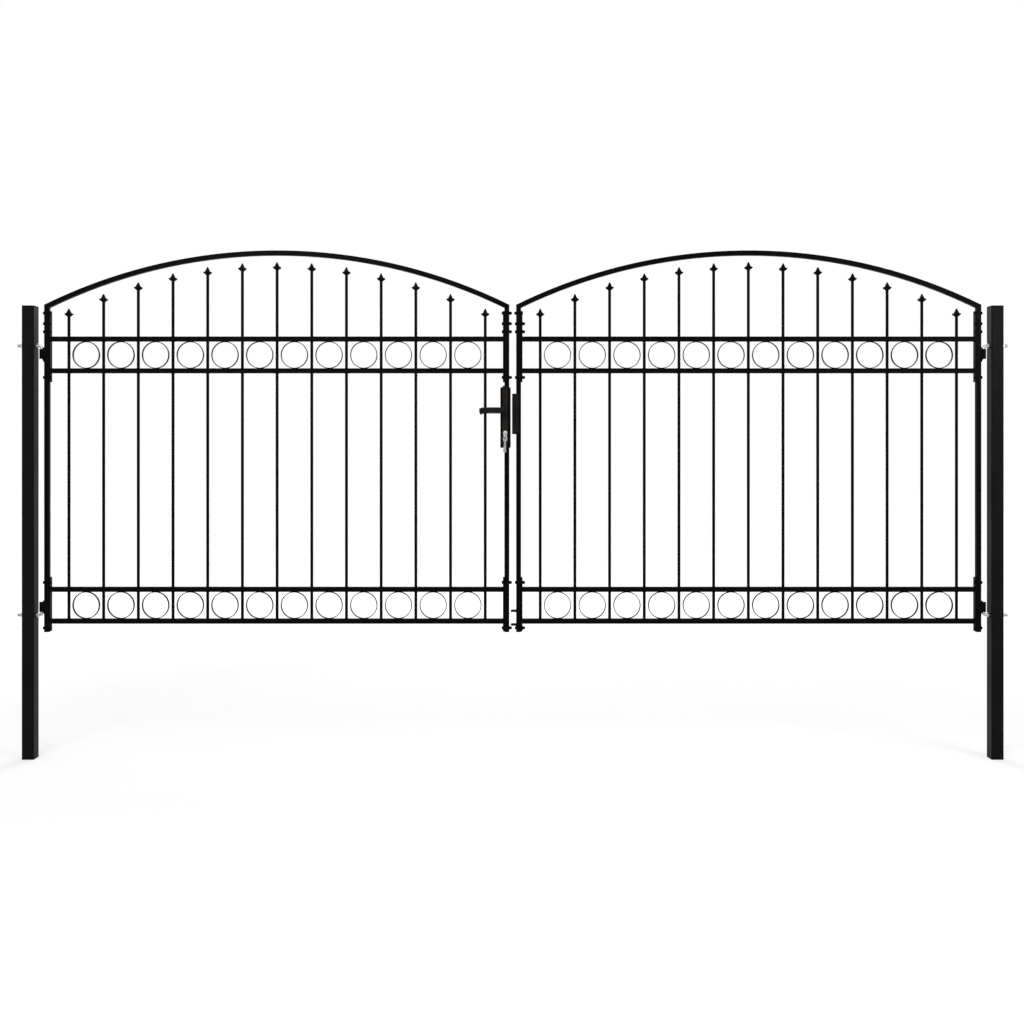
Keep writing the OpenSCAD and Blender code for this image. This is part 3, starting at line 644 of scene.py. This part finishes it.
def lock_tongue(name, middle_z, wide, tall, nose):
    deselect()
    deep = 2.3 * MM
    bpy.ops.mesh.primitive_cube_add(size=1.0, location=(forend_low.x + deep / 2, 0.0, middle_z),
                                    scale=(deep, wide, tall))
    tongue = bpy.context.object
    settle(tongue, name)
    pick_edges(tongue, lambda a, b: min(a.x, b.x) > forend_low.x + 0.9 * deep)
    bpy.ops.mesh.bevel(offset=nose, segments=3, affect="EDGES")
    settle(tongue, name)
    finish_piece(tongue, nickel, "left_leaf")


SPINDLE = Vector((1944.5, 0.0, 1423.0)) * MM
LATCH_OVER_SPINDLE = 24.0 * MM
BOLT_UNDER_SPINDLE = 42.0 * MM
TONGUE = (12.2 * MM, 34.6 * MM)
lock_tongue("latch_tongue", SPINDLE.z + LATCH_OVER_SPINDLE, *TONGUE, 0.9 * MM)
lock_tongue("bolt_tongue", SPINDLE.z - BOLT_UNDER_SPINDLE, *TONGUE, 0.4 * MM)

# Escutcheons and levers: die-cast zinc, the plates in a brown-black satin coat
# and the levers in a smoother grey-black one. The long plates clamp the case
# between them on two cross-head screws a side.
lock_coat = powder_coat("lock_coat", (0.0098, 0.007, 0.0054), (0.0172, 0.0126, 0.0098), 0.06, 0.42, 0.1)
lever_coat = powder_coat("lever_coat", (0.0022, 0.002, 0.0019), (0.0044, 0.0041, 0.0039), 0.11, 0.3, 0.08)
dress(lock_coat, "front_escutcheon", "back_escutcheon")
dress(lever_coat, "front_lever", "back_lever")
PLATE_SCREW_INSET = 11.0 * MM
plate_low, plate_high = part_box("front_escutcheon")
front_face = plate_low.y + SCREW_SUNK
back_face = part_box("back_escutcheon")[1].y - SCREW_SUNK
screw = cross_screw(4.0 * MM, 1.3 * MM)
for face, turn, name in ((front_face, -math.pi / 2, "front_escutcheon_screws"),
                         (back_face, math.pi / 2, "back_escutcheon_screws")):
    screws = []
    for spot_z in (plate_low.z + PLATE_SCREW_INSET, plate_high.z - PLATE_SCREW_INSET):
        spot = Matrix.Translation((SPINDLE.x, face, spot_z)) @ Matrix.Rotation(turn, 4, "Z")
        screws.append(copy_at(screw, "screw", spot))
    finish_piece(join(screws, name), bolt_black, "left_leaf")
bpy.data.objects.remove(screw)

# Lock cylinder and keys: nickel-plated brass. The plug stands in the body with
# a fine raised rim, and the keys hang from the one that is in the lock.
dress(nickel, "lock_cylinder", "lock_key", "key_ring", "spare_keys")
dress(zinc, "lever_spindle")
PLUG_R = 6.4 * MM
PLUG_UNDER_SPINDLE = 92.0 * MM
PLUG_RIM_DEEP = 0.8 * MM
cylinder_low, cylinder_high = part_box("lock_cylinder")
plug_z = SPINDLE.z - PLUG_UNDER_SPINDLE
for face, name in ((cylinder_low.y, "front_plug_rim"), (cylinder_high.y, "back_plug_rim")):
    deselect()
    bpy.ops.mesh.primitive_cylinder_add(vertices=48, radius=PLUG_R, depth=PLUG_RIM_DEEP,
                                        end_fill_type="NOTHING", location=(SPINDLE.x, face, plug_z),
                                        rotation=(math.pi / 2, 0.0, 0.0))
    rim = bpy.context.object
    settle(rim, name)
    wall = rim.modifiers.new("wall", "SOLIDIFY")
    wall.thickness = 0.9 * MM
    bpy.ops.object.modifier_apply(modifier=wall.name)
    ease = rim.modifiers.new("ease", "BEVEL")
    ease.width = 0.2 * MM
    ease.segments = 2
    bpy.ops.object.modifier_apply(modifier=ease.name)
    settle(rim, name)
    finish_piece(rim, nickel, "left_leaf")

# Keep: a folded steel channel over the right leaf's lock stile with an
# olive-black coat, held by short welds along the edges of its flanges.
keep_coat = powder_coat("keep_coat", (0.0046, 0.0048, 0.0032), (0.0082, 0.0086, 0.006), 0.05, 0.44, 0.12)
dress(keep_coat, "lock_keep")
keep_low, keep_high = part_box("lock_keep")
KEEP_BEAD_INSET = 12.0 * MM
KEEP_BEAD_LONG = 30.0 * MM
KEEP_BEAD = (4.4 * MM, 1.5 * MM)
keep_runs = []
for side in (-1.0, 1.0):
    spot_y = side * (half + 0.6 * MM)
    for start_z in (keep_low.z + KEEP_BEAD_INSET, keep_high.z - KEEP_BEAD_INSET - KEEP_BEAD_LONG):
        keep_runs.append(weld_run((keep_high.x, spot_y, start_z),
                                  (keep_high.x, spot_y, start_z + KEEP_BEAD_LONG),
                                  *KEEP_BEAD, (1.0, side, 0.0)))
finish_piece(join(keep_runs, "keep_welds"), keep_coat, "right_leaf", 50.0)

# Drop bolt guides: two punched tabs welded to the foot of the same stile, in
# the leaf's own coat, with a bead above and below each.
dress(frame_coat, "drop_bolt_guides")
guide_low, guide_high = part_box("drop_bolt_guides")
GUIDE_THICK = 8.0 * MM
GUIDE_BEAD_HALF = 6.8 * MM
GUIDE_BEAD = (4.0 * MM, 1.6 * MM)
guide_runs = []
for foot_z in (guide_low.z, guide_high.z - GUIDE_THICK):
    for edge_z, up in ((foot_z, -1.0), (foot_z + GUIDE_THICK, 1.0)):
        guide_runs.append(weld_run((guide_high.x, -GUIDE_BEAD_HALF, edge_z),
                                   (guide_high.x, GUIDE_BEAD_HALF, edge_z),
                                   *GUIDE_BEAD, (-1.0, 0.0, up)))
finish_piece(join(guide_runs, "drop_bolt_guide_welds"), frame_coat, "right_leaf", 50.0)

# Floor, backdrop, lamps and camera: a white studio with soft light from the
# front, one side and behind, seen square on from below the height of the lock.
# The floor glows less near the gate, so that its shadow shows there.
GLOW_NEAR, GLOW_FAR = 2.4, 5.5
GLOW_LOW, GLOW_HIGH = 0.5, 0.73
EYE_BACK = 4540.0 * MM
EYE_HEIGHT = 1265.0 * MM
deselect()
bpy.ops.mesh.primitive_plane_add(size=60.0, location=(GATE_MID, 0.0, cad_low.z - 1.0 * MM))
floor = bpy.context.object
floor.name = "floor"
floor_white, nodes, links = new_material("floor_white")
nodes.remove(nodes["Principled BSDF"])
paper = nodes.new("ShaderNodeBsdfDiffuse")
paper.inputs["Color"].default_value = (0.52, 0.52, 0.52, 1.0)
glow = nodes.new("ShaderNodeEmission")
spot = nodes.new("ShaderNodeTexCoord")
away = nodes.new("ShaderNodeVectorMath")
away.operation = "LENGTH"
rise = nodes.new("ShaderNodeMapRange")
rise.inputs["From Min"].default_value = GLOW_NEAR
rise.inputs["From Max"].default_value = GLOW_FAR
rise.inputs["To Min"].default_value = GLOW_LOW
rise.inputs["To Max"].default_value = GLOW_HIGH
ray = nodes.new("ShaderNodeLightPath")
seen = nodes.new("ShaderNodeMath")
seen.operation = "MAXIMUM"
shown = nodes.new("ShaderNodeMath")
shown.operation = "MULTIPLY"
both = nodes.new("ShaderNodeAddShader")
links.new(spot.outputs["Object"], away.inputs[0])
links.new(away.outputs["Value"], rise.inputs["Value"])
links.new(rise.outputs["Result"], shown.inputs[1])
links.new(ray.outputs["Is Camera Ray"], seen.inputs[0])
links.new(ray.outputs["Is Glossy Ray"], seen.inputs[1])
links.new(seen.outputs["Value"], shown.inputs[0])
links.new(shown.outputs["Value"], glow.inputs["Strength"])
links.new(paper.outputs["BSDF"], both.inputs[0])
links.new(glow.outputs["Emission"], both.inputs[1])
links.new(both.outputs["Shader"], nodes["Material Output"].inputs["Surface"])
floor.data.materials.append(floor_white)

world = bpy.data.worlds.new("studio")
bpy.context.scene.world = world
world.use_nodes = True
sky = world.node_tree.nodes
sky_links = world.node_tree.links
ray = sky.new("ShaderNodeLightPath")
first = sky.new("ShaderNodeMath")
first.operation = "MAXIMUM"
second = sky.new("ShaderNodeMath")
second.operation = "MAXIMUM"
level = sky.new("ShaderNodeMapRange")
level.inputs["To Min"].default_value = 0.55
level.inputs["To Max"].default_value = 1.0
sky_links.new(ray.outputs["Is Camera Ray"], first.inputs[0])
sky_links.new(ray.outputs["Is Glossy Ray"], first.inputs[1])
sky_links.new(first.outputs["Value"], second.inputs[0])
sky_links.new(ray.outputs["Is Transmission Ray"], second.inputs[1])
sky_links.new(second.outputs["Value"], level.inputs["Value"])
sky_links.new(level.outputs["Result"], sky["Background"].inputs["Strength"])
sky["Background"].inputs["Color"].default_value = (1.0, 1.0, 1.0, 1.0)


def soft_lamp(name, place, aim, size, power):
    deselect()
    bpy.ops.object.light_add(type="AREA", location=place)
    lamp = bpy.context.object
    lamp.name = name
    lamp.data.shape = "SQUARE"
    lamp.data.size = size
    lamp.data.energy = power
    lamp.rotation_euler = (Vector(aim) - Vector(place)).to_track_quat("-Z", "Y").to_euler()


soft_lamp("front_lamp", (0.2, -5.2, 4.6), (1.9, 0.0, 1.1), 3.2, 170.0)
soft_lamp("side_lamp", (6.2, -3.6, 3.0), (2.0, 0.0, 1.1), 2.6, 90.0)
soft_lamp("back_lamp", (2.0, 4.6, 4.2), (2.0, 0.0, 1.0), 3.2, 110.0)

bpy.ops.object.camera_add(location=(GATE_MID, -EYE_BACK, EYE_HEIGHT), rotation=(math.pi / 2, 0.0, 0.0))
camera = bpy.context.object
camera.data.lens = 38.99
camera.data.sensor_width = 36.0
camera.data.shift_x = -0.0007
camera.data.shift_y = -0.0615
bpy.context.scene.camera = camera
bpy.context.scene.view_settings.view_transform = "Standard"
